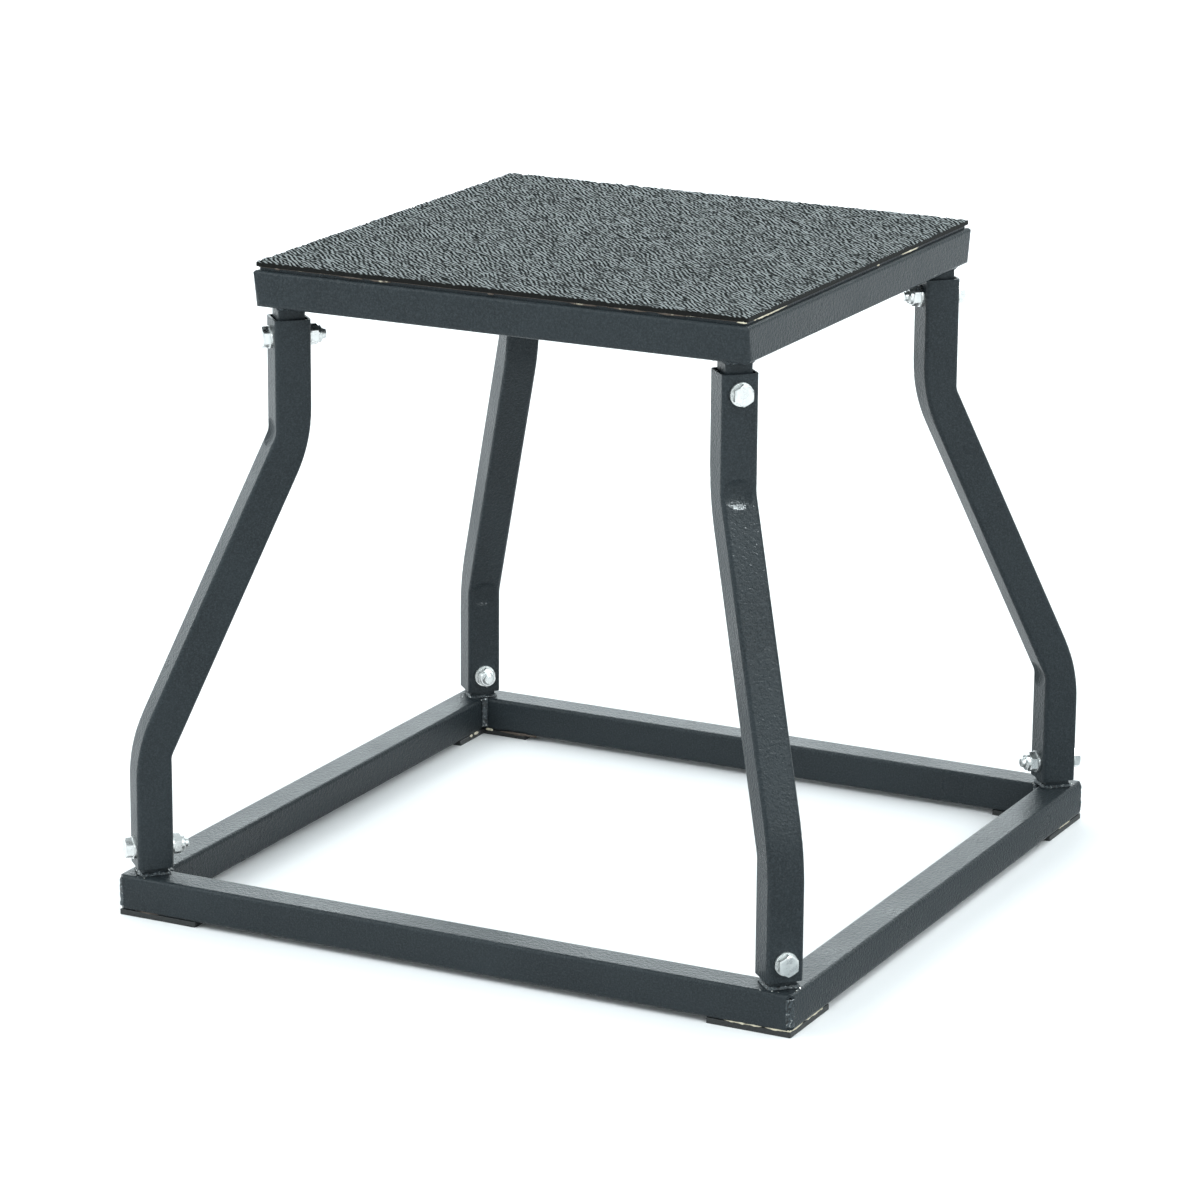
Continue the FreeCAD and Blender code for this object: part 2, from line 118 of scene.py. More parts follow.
class PLYO_PG_mat(bpy.types.PropertyGroup):
    """Grained rubber mat"""
    rubber: colour_setting("Rubber", "Colour of the mat's face", (0.020, 0.022, 0.022))
    # The crests' colour is a painted glint: light painted on the grain's crests in place of their reflection.
    crest: colour_setting("Crests", "Colour of the rubbed crests of the grain", (0.290, 0.312, 0.313))
    polish: share_setting("Crest Roughness", "How matt the rubbed crests are", 0.50)
    cut: colour_setting("Cut Edge", "Colour of the mat's cut edge", (0.005, 0.005, 0.0045))
    ridge_length: length_setting("Ridge Length", "Length of one ridge of the grain", 0.0072)
    ridge_spacing: length_setting("Ridge Spacing", "Distance from ridge to ridge", 0.0029)
    ridge_height: length_setting("Ridge Height", "Height of the ridges over the deepest valleys", 0.0016)
    grain_turn: angle_setting("Grain Direction", "Direction that the ridges run in, from the front edge", -41)
    straightness: share_setting("Straightness", "How far the ridges keep to their direction", 0.90)
    gloss: share_setting("Gloss", "Strength of the rubber's reflection, face on", 0.02)
    waviness: length_setting("Waviness", "How far the mat rises and falls over its width", 0.0003)


class PLYO_PG_glue(bpy.types.PropertyGroup):
    """Contact adhesive under the mat and the foot pads"""
    cream: colour_setting("Fresh Glue", "Colour of the squeezed-out glue", (0.62, 0.56, 0.42))
    brown: colour_setting("Aged Glue", "Colour of the thin, dirty glue", (0.060, 0.042, 0.030))
    bead: length_setting("Bead", "Thickness of a squeezed-out bead", 0.0012)


class PLYO_PG_weld(bpy.types.PropertyGroup):
    """Weld beads under the coat"""
    bare: colour_setting("Bare Steel", "Colour of spatter that the coat hasn't covered", (0.62, 0.62, 0.60))
    lump: length_setting("Lump", "Size of the lumps in a bead", 0.0035)
    height: length_setting("Lump Height", "How far the lumps stand up", 0.0016)
    spatter: length_setting("Spatter", "Size of the largest drops of spatter", 0.0016)
    drops: IntProperty(name="Drops", description="Drops of spatter round each stub", default=9, min=0)


class PLYO_PG_fasteners(bpy.types.PropertyGroup):
    """Bolts, washers and lock nuts"""
    zinc: colour_setting("Zinc", "Colour of the plated steel", (0.78, 0.79, 0.78))
    nylon: colour_setting("Nylon", "Colour of the nuts' locking ring", (0.55, 0.58, 0.60))
    roughness: share_setting("Roughness", "How dull the plating is", 0.30)


class PLYO_PG_feet(bpy.types.PropertyGroup):
    """Foot pads under the base's corners"""
    rubber: colour_setting("Rubber", "Colour of the foot pads", (0.016, 0.017, 0.017))
    edge: length_setting("Edge Round", "Round on the pads' cut edges", 0.0006)


class PLYO_PG_stage(bpy.types.PropertyGroup):
    """Floor, dark card, light and camera"""
    floor: colour_setting("Floor", "Colour of the floor", (0.95, 0.93, 0.93))
    # The flag's colour is painted shade for the floor beside the base, seen only in the coat's reflection.
    flag: colour_setting("Flag", "Colour of the dark card beside the base", (0.27, 0.29, 0.30))
    surround: colour_setting("Surround", "Colour of the light from all round", (0.885, 0.975, 1.0))
    horizon: share_setting("Horizon Light", "Strength of the surround at the horizon", 0.65, top=10.0)
    zenith: share_setting("Zenith Light", "Strength of the surround overhead", 1.55, top=10.0)
    rear_light: power_setting("Rear Softbox", "Power of the low soft light behind on the left", 36.0)
    glint_light: power_setting("Glint Light", "Power of the small light that only shows as glints", 300.0)
    side_light: power_setting("Side Softbox", "Power of the soft light on the right", 20.0)
    key_light: power_setting("Key Softbox", "Power of the soft light at the front left", 40.0)
    edge_light: power_setting("Edge Softbox", "Power of the low soft light on the left", 12.0)
    lens: FloatProperty(name="Lens", description="Focal length in millimetres", default=143.54, min=1.0)
    azimuth: angle_setting("Azimuth", "Camera's turn from the front towards the right", 26.82)
    elevation: angle_setting("Elevation", "Camera's height above the horizon", 15.805)
    roll: angle_setting("Roll", "Camera's tilt about its own axis", 0.414)
    distance: length_setting("Distance", "Camera's distance along its axis", 3.43886)
    aim_side: length_setting("Aim Sideways", "How far right of the origin the camera aims", -0.011086)
    aim_rise: length_setting("Aim Height", "How far above the origin the camera aims", 0.190199)


class PLYO_PG_box(bpy.types.PropertyGroup):
    """All settings of the plyo box"""
    coat: PointerProperty(type=PLYO_PG_coat)
    mat: PointerProperty(type=PLYO_PG_mat)
    glue: PointerProperty(type=PLYO_PG_glue)
    weld: PointerProperty(type=PLYO_PG_weld)
    fasteners: PointerProperty(type=PLYO_PG_fasteners)
    feet: PointerProperty(type=PLYO_PG_feet)
    stage: PointerProperty(type=PLYO_PG_stage)


# Modelling by hand: selection, edit mode and modifiers

def pick(*pieces):
    """Select these objects alone, the first of them active."""
    bpy.ops.object.select_all(action="DESELECT")
    for piece in pieces:
        piece.select_set(True)
    bpy.context.view_layer.objects.active = pieces[0]


def open_edit(piece, action="SELECT"):
    """Enter edit mode on one piece with everything or nothing selected."""
    pick(piece)
    bpy.ops.object.mode_set(mode="EDIT")
    bpy.ops.mesh.select_mode(type="VERT")
    bpy.ops.mesh.select_all(action=action)


def close_edit():
    """Back to object mode."""
    bpy.ops.object.mode_set(mode="OBJECT")


def apply_modifier(piece, kind, **settings):
    """Add a modifier, set it up and apply it."""
    modifier = piece.modifiers.new(kind.title(), kind)
    for name, value in settings.items():
        setattr(modifier, name, value)
    pick(piece)
    bpy.ops.object.modifier_apply(modifier=modifier.name)


def apply_place(piece):
    """Put the object's place, turn and scale into its mesh."""
    pick(piece)
    bpy.ops.object.transform_apply(location=True, rotation=True, scale=True)


def cloud_texture(name, size, depth=1, hard=False):
    """A soft or ridged noise for displacing a surface."""
    texture = bpy.data.textures.new(name, "CLOUDS")
    texture.noise_scale = size
    texture.noise_depth = depth
    texture.noise_type = "HARD_NOISE" if hard else "SOFT_NOISE"
    return texture


def joined(name, pieces):
    """Several objects made one, with a name."""
    pick(*pieces)
    if len(pieces) > 1:
        bpy.ops.object.join()
    pieces[0].name = name
    return pieces[0]


def uneven_bead(start, end, width, height, lumps, lump_height):
    """A drop or a drawn-out bead from start to end, thickest in the middle and lumpy."""
    run = end - start
    bpy.ops.object.select_all(action="DESELECT")
    rings = max(FEWEST_RINGS, round(run.length / BEAD_STEP))
    bpy.ops.mesh.primitive_uv_sphere_add(segments=BEAD_SEGMENTS, ring_count=rings, radius=0.5,
                                         location=(start + end) / 2)
    bead = bpy.context.active_object
    bead.scale = (width, height, run.length)
    bead.rotation_euler = run.to_track_quat("Z", "Y").to_euler()
    apply_place(bead)
    apply_modifier(bead, "DISPLACE", texture=lumps, texture_coords="LOCAL", strength=lump_height,
                   mid_level=0.5)
    pick(bead)
    bpy.ops.object.shade_smooth()
    return bead


def finished_copy(node):
    """A merged copy of a frame node with smooth rounds and flat faces."""
    piece = bpy.data.objects.new(node + FINISHED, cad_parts[node].data.copy())
    bpy.context.scene.collection.objects.link(piece)
    open_edit(piece)
    bpy.ops.mesh.customdata_custom_splitnormals_clear()
    bpy.ops.mesh.remove_doubles(threshold=MERGE_DISTANCE)
    close_edit()
    bpy.ops.object.shade_smooth_by_angle(angle=SMOOTH_ANGLE)
    apply_modifier(piece, "WEIGHTED_NORMAL", keep_sharp=True, weight=FLAT_FACE_WEIGHT)
    return piece


def hand_over(piece, material, slot, *nodes):
    """Give a piece its finish and let it ride and stand for its frame nodes."""
    if material is not None:
        piece.data.materials.clear()
        piece.data.materials.append(material)
    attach(piece, BODY)
    if nodes:
        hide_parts(*nodes)


# Finishes, with the sizes of their patterns

COAT_CLOUD = 0.07
WELD_GRAIN = 0.0022
SPATTER_FILM = 0.003
SAW_GRAIN = 0.0012
GLUE_BLOT = 0.006
GLUE_GRAIN = 0.0015
PAD_GRAIN = 0.0015
ZINC_CLOUD = 0.004
ZINC_GRAIN = 0.0012
NYLON_CLOUD = 0.002
FLOOR_MOTTLE = 0.4


def start_finish(name):
    """A new material with its node tree, shader and the place on the object."""
    material = bpy.data.materials.new(name)
    material.use_nodes = True
    tree = material.node_tree
    place = tree.nodes.new("ShaderNodeTexCoord").outputs["Object"]
    return material, tree, tree.nodes["Principled BSDF"], place


def add_node(tree, kind, **inputs):
    """A node whose inputs are linked or set by name."""
    node = tree.nodes.new(kind)
    for name, value in inputs.items():
        socket = node.inputs[name]
        if isinstance(value, bpy.types.NodeSocket):
            tree.links.new(value, socket)
        else:
            socket.default_value = value
    return node


def noise(tree, place, size, detail=2.0, roughness=0.5):
    """Noise with lumps of about this size in metres."""
    return add_node(tree, "ShaderNodeTexNoise", Vector=place, Scale=1.0 / size, Detail=detail,
                    Roughness=roughness).outputs["Fac"]


def ramp(tree, factor, *stops):
    """Colours laid along a factor, as (place, colour) stops."""
    node = add_node(tree, "ShaderNodeValToRGB", Fac=factor)
    elements = node.color_ramp.elements
    while len(elements) < len(stops):
        elements.new(0.5)
    for element, (position, colour) in zip(elements, stops):
        element.position = position
        element.color = (*colour, 1.0)
    return node.outputs["Color"]


def spread(tree, value, low, high, start=0.3, end=0.7):
    """Map the middle of a noise to a range."""
    node = add_node(tree, "ShaderNodeMapRange", Value=value)
    for name, number in (("From Min", start), ("From Max", end), ("To Min", low), ("To Max", high)):
        node.inputs[name].default_value = number
    return node.outputs["Result"]


def blend(tree, factor, first, second):
    """Mix two colours, each a socket or a plain colour."""
    node = tree.nodes.new("ShaderNodeMix")
    node.data_type = "RGBA"
    tree.links.new(factor, node.inputs[0])
    for socket, value in ((node.inputs[6], first), (node.inputs[7], second)):
        if isinstance(value, bpy.types.NodeSocket):
            tree.links.new(value, socket)
        else:
            socket.default_value = (*value, 1.0)
    return node.outputs[2]


def relief(tree, shader, *layers):
    """Stack bumps on a shader, as (height, strength, depth in metres) layers."""
    normal = None
    for height, strength, depth in layers:
        node = add_node(tree, "ShaderNodeBump", Height=height, Strength=strength, Distance=depth)
        if normal is not None:
            tree.links.new(normal, node.inputs["Normal"])
        normal = node.outputs["Normal"]
    tree.links.new(normal, shader.inputs["Normal"])


def shade(colour, factor):
    """A colour made lighter or darker."""
    return tuple(min(1.0, part * factor) for part in colour)


def powder_coat(coat):
    """Charcoal powder coat with a sandy grain."""
    material, tree, shader, place = start_finish("powder_coat_finish")
    grain = noise(tree, place, coat.grain, detail=3.0, roughness=0.6)
    cloud = noise(tree, place, COAT_CLOUD, detail=3.0)
    flecked = ramp(tree, grain, (0.36, shade(coat.body, 0.6)), (0.54, coat.body), (0.76, coat.fleck))
    toned_colour = blend(tree, spread(tree, cloud, 0.0, 0.35), flecked, shade(coat.body, 1.5))
    tree.links.new(toned_colour, shader.inputs["Base Color"])
    shader.inputs["Specular IOR Level"].default_value = coat.gloss
    tree.links.new(spread(tree, cloud, coat.roughness - 0.05, coat.roughness + 0.07),
                   shader.inputs["Roughness"])
    relief(tree, shader, (noise(tree, place, 6 * coat.grain), 0.10, 0.0006),
           (noise(tree, place, 2 * coat.grain), 0.9, 0.0006), (grain, 0.6, 0.0003))
    return material


def coated_weld(weld, coat):
    """Lumpy weld under thin coat, with bright spatter that the coat missed and dark patches of painted shade
    between the lumps.
    """
    material, tree, shader, place = start_finish("coated_weld_finish")
    spatter = noise(tree, place, WELD_GRAIN, detail=3.0, roughness=0.7)
    bare = spread(tree, spatter, 0.0, 1.0, start=0.62, end=0.67)
    # Painted shade: the darkest patches stand in for shade in the bead's grooves; the rest is the coat made
    # lighter.
    coat_with_painted_shade = ramp(tree, spatter, (0.40, shade(coat.body, 0.2)), (0.54, shade(coat.body, 2.2)))
    tree.links.new(blend(tree, bare, coat_with_painted_shade, weld.bare), shader.inputs["Base Color"])
    tree.links.new(bare, shader.inputs["Metallic"])
    tree.links.new(spread(tree, spatter, 0.5, 0.3), shader.inputs["Roughness"])
    relief(tree, shader, (spatter, 0.5, 0.0008))
    return material


def bare_spatter(weld):
    """Bright drops of weld metal, dulled by thin coat in places."""
    material, tree, shader, place = start_finish("spatter_finish")
    film = noise(tree, place, SPATTER_FILM, detail=2.0)
    tree.links.new(ramp(tree, film, (0.40, shade(weld.bare, 0.15)), (0.62, weld.bare)),
                   shader.inputs["Base Color"])
    shader.inputs["Metallic"].default_value = 0.8
    tree.links.new(spread(tree, film, 0.5, 0.3), shader.inputs["Roughness"])
    return material


def mat_face(mat):
    """Dull rubber, polished on the crests of its grain, with painted glints on the crests and painted shade
    between them.
    """
    material, tree, shader, place = start_finish("mat_rubber_finish")
    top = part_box("rubber_mat")[1].z
    strokes = add_node(tree, "ShaderNodeTexGabor", Vector=place, Scale=1.0 / mat.ridge_length,
                       Frequency=mat.ridge_length / mat.ridge_spacing, Anisotropy=mat.straightness,
                       Orientation=mat.grain_turn + math.pi / 2).outputs["Value"]
    height = add_node(tree, "ShaderNodeSeparateXYZ", Vector=place).outputs["Z"]
    # Painted shade in the grain's valleys: the lower the face, the more of the plain dark rubber is mixed
    # into its colour, up to three tenths.
    painted_valley_shade = spread(tree, height, 0.3, 0.0, start=top - 0.6 * mat.ridge_height, end=top)
    # Painted light along the grain's strokes: the crest colour is a painted glint, and the darkest stop is
    # painted shade between the strokes.
    toned_colour = ramp(tree, strokes, (0.42, shade(mat.rubber, 0.1)), (0.50, shade(mat.rubber, 1.2)),
                (0.585, mat.crest))
    tree.links.new(blend(tree, painted_valley_shade, toned_colour, mat.rubber), shader.inputs["Base Color"])
    tree.links.new(spread(tree, strokes, 0.9, mat.polish), shader.inputs["Roughness"])
    shader.inputs["Specular IOR Level"].default_value = mat.gloss
    relief(tree, shader, (strokes, 0.3, 0.0006))
    return material


def mat_cut(mat):
    """Dark sawn edge of the mat."""
    material, tree, shader, place = start_finish("mat_cut_edge_finish")
    saw = noise(tree, place, SAW_GRAIN, detail=2.0)
    tree.links.new(ramp(tree, saw, (0.3, shade(mat.cut, 0.5)), (0.75, shade(mat.cut, 2.2))),
                   shader.inputs["Base Color"])
    tree.links.new(spread(tree, saw, 0.6, 0.8), shader.inputs["Roughness"])
    shader.inputs["Specular IOR Level"].default_value = 6 * mat.gloss
    relief(tree, shader, (saw, 0.5, 0.0005))
    return material


def adhesive(glue, name, pale):
    """Contact adhesive, brown and dirty in thin places and cream in thick ones."""
    material, tree, shader, place = start_finish(name)
    blot = noise(tree, place, GLUE_BLOT, detail=3.0)
    tint = spread(tree, blot, 0.0, 1.0, start=0.62 - 0.4 * pale, end=0.78 - 0.4 * pale)
    tree.links.new(blend(tree, tint, glue.brown, glue.cream), shader.inputs["Base Color"])
    tree.links.new(spread(tree, blot, 0.35, 0.6), shader.inputs["Roughness"])
    relief(tree, shader, (noise(tree, place, GLUE_GRAIN), 0.4, 0.0005))
    return material


def glue_finish(glue, kind):
    """Fresh or aged glue, made on first use."""
    return finish_of(kind, adhesive, glue, kind, 1.0 if kind == FRESH else 0.0)


def foot_rubber(feet):
    """Black rubber of the foot pads."""
    material, tree, shader, place = start_finish("foot_rubber_finish")
    fine = noise(tree, place, PAD_GRAIN, detail=3.0)
    tree.links.new(ramp(tree, fine, (0.3, shade(feet.rubber, 0.6)), (0.75, shade(feet.rubber, 2.0))),
                   shader.inputs["Base Color"])
    tree.links.new(spread(tree, fine, 0.55, 0.75), shader.inputs["Roughness"])
    relief(tree, shader, (fine, 0.3, 0.0004))
    return material


def zinc_plate(fasteners):
    """Bright zinc with a faint cloudy dullness."""
    material, tree, shader, place = start_finish("zinc_finish")
    cloud = noise(tree, place, ZINC_CLOUD, detail=3.0)
    tree.links.new(ramp(tree, cloud, (0.3, shade(fasteners.zinc, 0.8)), (0.7, fasteners.zinc)),
                   shader.inputs["Base Color"])
    shader.inputs["Metallic"].default_value = 1.0
    tree.links.new(spread(tree, cloud, fasteners.roughness - 0.08, fasteners.roughness + 0.1),
                   shader.inputs["Roughness"])
    relief(tree, shader, (noise(tree, place, ZINC_GRAIN), 0.12, 0.0003))
    return material


def nylon_ring(fasteners):
    """Milky nylon of the locking rings."""
    material, tree, shader, place = start_finish("nylon_finish")
    cloud = noise(tree, place, NYLON_CLOUD)
    tree.links.new(ramp(tree, cloud, (0.3, shade(fasteners.nylon, 0.85)), (0.7, fasteners.nylon)),
                   shader.inputs["Base Color"])
    tree.links.new(spread(tree, cloud, 0.35, 0.5), shader.inputs["Roughness"])
    return material


def studio_floor(stage):
    """Pale seamless floor with the faintest mottle."""
    material, tree, shader, place = start_finish("studio_floor")
    mottle = noise(tree, place, FLOOR_MOTTLE)
    tree.links.new(ramp(tree, mottle, (0.3, shade(stage.floor, 0.99)), (0.7, stage.floor)),
                   shader.inputs["Base Color"])
    shader.inputs["Roughness"].default_value = 0.8
    shader.inputs["Specular IOR Level"].default_value = 0.2
    return material


def finish_of(name, maker, *settings):
    """The finish of this name, made on first use."""
    return bpy.data.materials.get(name) or maker(*settings)


def coat_of(context):
    """The powder coat that all the steel shares."""
    return finish_of("powder_coat_finish", powder_coat, context.scene.plyo_box.coat)


# Steel frames, legs and stubs

class PLYO_OT_base_frame(bpy.types.Operator):
    """Coat the four rails of the base"""
    bl_idname = "plyo.base_frame"
    bl_label = "Base Frame"

    def execute(self, context):
        for side in SIDES:
            node = f"base_{side}_rail"
            hand_over(finished_copy(node), coat_of(context), "powder_coat", node)
        return {"FINISHED"}


class PLYO_OT_platform_frame(bpy.types.Operator):
    """Coat the platform's rails, its brace and the deck sheet"""
    bl_idname = "plyo.platform_frame"
    bl_label = "Platform Frame"

    def execute(self, context):
        rails = [f"platform_{side}_rail" for side in SIDES]
        for node in rails + ["platform_corner_welds", "platform_brace", "deck_sheet"]:
            hand_over(finished_copy(node), coat_of(context), "powder_coat", node)
        return {"FINISHED"}


class PLYO_OT_legs(bpy.types.Operator):
    """Coat the bent legs and the stubs that they slide over"""
    bl_idname = "plyo.legs"
    bl_label = "Legs and Stubs"

    def execute(self, context):
        for corner in CORNERS:
            for kind in ("leg", "lower_stub", "upper_stub"):
                node = f"{kind}_{corner}"
                hand_over(finished_copy(node), coat_of(context), "powder_coat", node)
        return {"FINISHED"}


# Welds

WELDS = ("base_corner_welds", "platform_frame_welds", "deck_stitch_welds", "lower_stub_welds",
         "upper_stub_welds")
WELD_VOXEL = 0.00045


class PLYO_OT_welds(bpy.types.Operator):
    """Roughen the weld beads of both frames and of the stubs"""
    bl_idname = "plyo.welds"
    bl_label = "Weld Beads"

    def execute(self, context):
        weld = context.scene.plyo_box.weld
        finish = finish_of("coated_weld_finish", coated_weld, weld, context.scene.plyo_box.coat)
        lumps = cloud_texture("weld_lumps", weld.lump, depth=2)
        for node in WELDS:
            piece = finished_copy(node)
            apply_modifier(piece, "REMESH", mode="VOXEL", voxel_size=WELD_VOXEL)
            apply_modifier(piece, "DISPLACE", texture=lumps, texture_coords="LOCAL", strength=weld.height,
                           mid_level=0.45)
            apply_modifier(piece, "SMOOTH", factor=0.5, iterations=1)
            pick(piece)
            bpy.ops.object.shade_smooth()
            hand_over(piece, finish, "coated_weld", node)
        return {"FINISHED"}


SPATTER_FROM_STUB = 0.0115
SPATTER_BAND = 0.0055
SPATTER_SEED = 7
SMALLEST_DROP = 0.35
DROP_RISE = 0.35
DROP_LUMPS = 0.3


class PLYO_OT_spatter(bpy.types.Operator):
    """Scatter drops of weld spatter round the feet of the stubs"""
    bl_idname = "plyo.spatter"
    bl_label = "Weld Spatter"

    def execute(self, context):
        weld = context.scene.plyo_box.weld
        chance = random.Random(SPATTER_SEED)
        lumps = cloud_texture("spatter_lumps", weld.spatter)
        finish = finish_of("spatter_finish", bare_spatter, weld)
        drops = []
        for corner in CORNERS:
            for kind, end in (("lower_stub", 0), ("upper_stub", 1)):
                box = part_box(f"{kind}_{corner}")
                axis = (box[0] + box[1]) / 2
                for _ in range(weld.drops):
                    turn = chance.uniform(0.0, math.tau)
                    away = SPATTER_FROM_STUB + chance.uniform(0.0, SPATTER_BAND)
                    size = weld.spatter * chance.uniform(SMALLEST_DROP, 1.0)
                    spot = Vector((axis.x + away * math.cos(turn), axis.y + away * math.sin(turn),
                                   box[end].z))
                    lift = Vector((0.0, 0.0, size * DROP_RISE))
                    drops.append(uneven_bead(spot - lift, spot + lift, size, size, lumps, DROP_LUMPS * size))
        hand_over(joined("weld_spatter", drops), finish, "coated_weld")
        return {"FINISHED"}


# Mat and its glue

STEP_ALONG_RIDGE = 0.0021
STEP_ACROSS_RIDGE = 0.00078
MAT_CORNER = 0.002
WAVE_SIZE = 0.05
CUT_EDGE_SLOPE = 0.3
GRAIN_SMOOTH_ANGLE = math.radians(60)


def trim_sheet(piece, half_side, corner):
    """Cut a wide sheet to a square with small clipped corners."""
    open_edit(piece)
    for turn in range(4):
        outward = Vector((math.cos(turn * math.pi / 2), math.sin(turn * math.pi / 2), 0.0))
        bpy.ops.mesh.select_all(action="SELECT")
        bpy.ops.mesh.bisect(plane_co=outward * half_side, plane_no=outward, clear_outer=True)
        slanted = Matrix.Rotation(math.pi / 4, 3, "Z") @ outward
        reach = half_side * math.sqrt(2) - corner * (math.sqrt(2) - 1)
        bpy.ops.mesh.select_all(action="SELECT")
        bpy.ops.mesh.bisect(plane_co=slanted * reach, plane_no=slanted, clear_outer=True)
    close_edit()


def grained_sheet(mat, half_side, top):
    """The mat's face: a fine sheet along the grain, cut square and pressed into ridges."""
    across = 2 * half_side * (abs(math.cos(mat.grain_turn)) + abs(math.sin(mat.grain_turn)))
    bpy.ops.object.select_all(action="DESELECT")
    bpy.ops.mesh.primitive_grid_add(x_subdivisions=round(across / STEP_ALONG_RIDGE),
                                    y_subdivisions=round(across / STEP_ACROSS_RIDGE), size=across,
                                    location=(0.0, 0.0, top), rotation=(0.0, 0.0, mat.grain_turn))
    sheet = bpy.context.active_object
    sheet.name = "rubber_mat" + FINISHED
    apply_place(sheet)
    trim_sheet(sheet, half_side, MAT_CORNER)
    bpy.ops.object.empty_add(rotation=(0.0, 0.0, mat.grain_turn))
    grain_guide = bpy.context.active_object
    grain_guide.scale = (mat.ridge_length / mat.ridge_spacing, 1.0, 1.0)
    bpy.context.view_layer.update()
    ridges = cloud_texture("mat_ridges", mat.ridge_spacing, hard=True)
    apply_modifier(sheet, "DISPLACE", texture=ridges, texture_coords="OBJECT",
                   texture_coords_object=grain_guide, direction="Z", strength=-mat.ridge_height,
                   mid_level=0.0)
    waves = cloud_texture("mat_waves", WAVE_SIZE)
    apply_modifier(sheet, "DISPLACE", texture=waves, texture_coords="LOCAL", direction="Z",
                   strength=mat.waviness, mid_level=0.8)
    bpy.data.objects.remove(grain_guide)
    return sheet


class PLYO_OT_rubber_mat(bpy.types.Operator):
    """Lay the grained rubber mat on the deck"""
    bl_idname = "plyo.rubber_mat"
    bl_label = "Rubber Mat"

    def execute(self, context):
        mat = context.scene.plyo_box.mat
        low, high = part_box("rubber_mat")
        piece = grained_sheet(mat, high.x, high.z)
        open_edit(piece, "DESELECT")
        bpy.ops.mesh.select_mode(type="EDGE")
        bpy.ops.mesh.select_non_manifold(extend=False)
        bpy.ops.mesh.extrude_region_move(TRANSFORM_OT_translate={"value": (0.0, 0.0, low.z - high.z)})
        bpy.ops.transform.resize(value=(1.0, 1.0, 0.0), center_override=(0.0, 0.0, low.z))
        bpy.ops.mesh.edge_face_add()
        bpy.ops.mesh.select_all(action="SELECT")
        bpy.ops.mesh.normals_make_consistent(inside=False)
        close_edit()
        pick(piece)
        bpy.ops.object.shade_smooth_by_angle(angle=GRAIN_SMOOTH_ANGLE)
        hand_over(piece, finish_of("mat_rubber_finish", mat_face, mat), "mat_rubber", "rubber_mat")
        piece.data.materials.append(finish_of("mat_cut_edge_finish", mat_cut, mat))
        for face in piece.data.polygons:
            face.material_index = int(face.normal.z < CUT_EDGE_SLOPE)
        return {"FINISHED"}


FRESH, AGED = "squeezed_glue_finish", "adhesive_bed_finish"
MAT_GLUE = (("right", -0.1736, -0.1225, FRESH), ("right", 0.0235, 0.0270, FRESH),
            ("right", 0.0647, 0.0953, FRESH), ("front", 0.1755, 0.1835, FRESH),
            ("front", -0.0060, -0.0010, AGED), ("front", -0.1690, -0.1650, AGED),
            ("front", -0.1196, -0.1010, AGED), ("front", -0.0960, -0.0791, AGED),
            ("front", 0.0543, 0.0750, AGED), ("front", 0.0830, 0.1120, AGED),
            ("front", 0.1180, 0.1405, AGED))
PAD_GLUE = (("front", 0.2080, 0.2360, FRESH), ("front", 0.2375, 0.2565, FRESH),
            ("right", -0.2565, -0.2360, FRESH), ("right", -0.2320, -0.2030, FRESH),
            ("right", 0.2140, 0.2360, FRESH), ("front", -0.2450, -0.2250, AGED),
            ("left", 0.2150, 0.2400, AGED), ("rear", -0.2400, -0.2150, AGED))
INNER_GLUE = (("rear", -0.2305, -0.2240, FRESH), ("left", 0.2085, 0.2125, FRESH),
              ("left", 0.2155, 0.2215, FRESH), ("rear", -0.2170, -0.1850, AGED),
              ("front", 0.1950, 0.2230, AGED), ("right", 0.1900, 0.2200, AGED))
PAST_EDGE = 0.0004
INSIDE_EDGE = 0.0008
GLUE_LUMP = 0.0035
BEAD_RISE = 1.2
PAD_BEAD = 1.4


def along_side(side, way, distance, height):
    """A point on one side of the box, so far along it and so far from the middle."""
    turn = Matrix.Rotation(SIDES.index(side) * math.pi / 2, 3, "Z")
    sign = 1.0 if side in ("front", "right") else -1.0
    return turn @ Vector((sign * way, -distance, height))


def glue_runs(runs, distance, height, thickness):
    """Beads squeezed out along the sides, one object for each kind of glue."""
    lumps = cloud_texture("glue_lumps", GLUE_LUMP, depth=2)
    for kind in (FRESH, AGED):
        beads = []
        for side, start, end, tint in runs:
            if tint == kind:
                beads.append(uneven_bead(along_side(side, start, distance, height),
                                         along_side(side, end, distance, height),
                                         thickness, BEAD_RISE * thickness, lumps, thickness))
        if beads:
            yield kind, beads


class PLYO_OT_adhesive(bpy.types.Operator):
    """Spread the glue bed under the mat and let it ooze out along the edges"""
    bl_idname = "plyo.adhesive"
    bl_label = "Mat Adhesive"

    def execute(self, context):
        glue = context.scene.plyo_box.glue
        bed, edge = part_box("mat_adhesive")
        hand_over(finished_copy("mat_adhesive"), glue_finish(glue, AGED), "adhesive", "mat_adhesive")
        for kind, beads in glue_runs(MAT_GLUE, edge.x + PAST_EDGE, bed.z, glue.bead):
            name = "mat_glue_" + kind.split("_")[0]
            hand_over(joined(name, beads), glue_finish(glue, kind), "adhesive")
        return {"FINISHED"}


# Foot pads

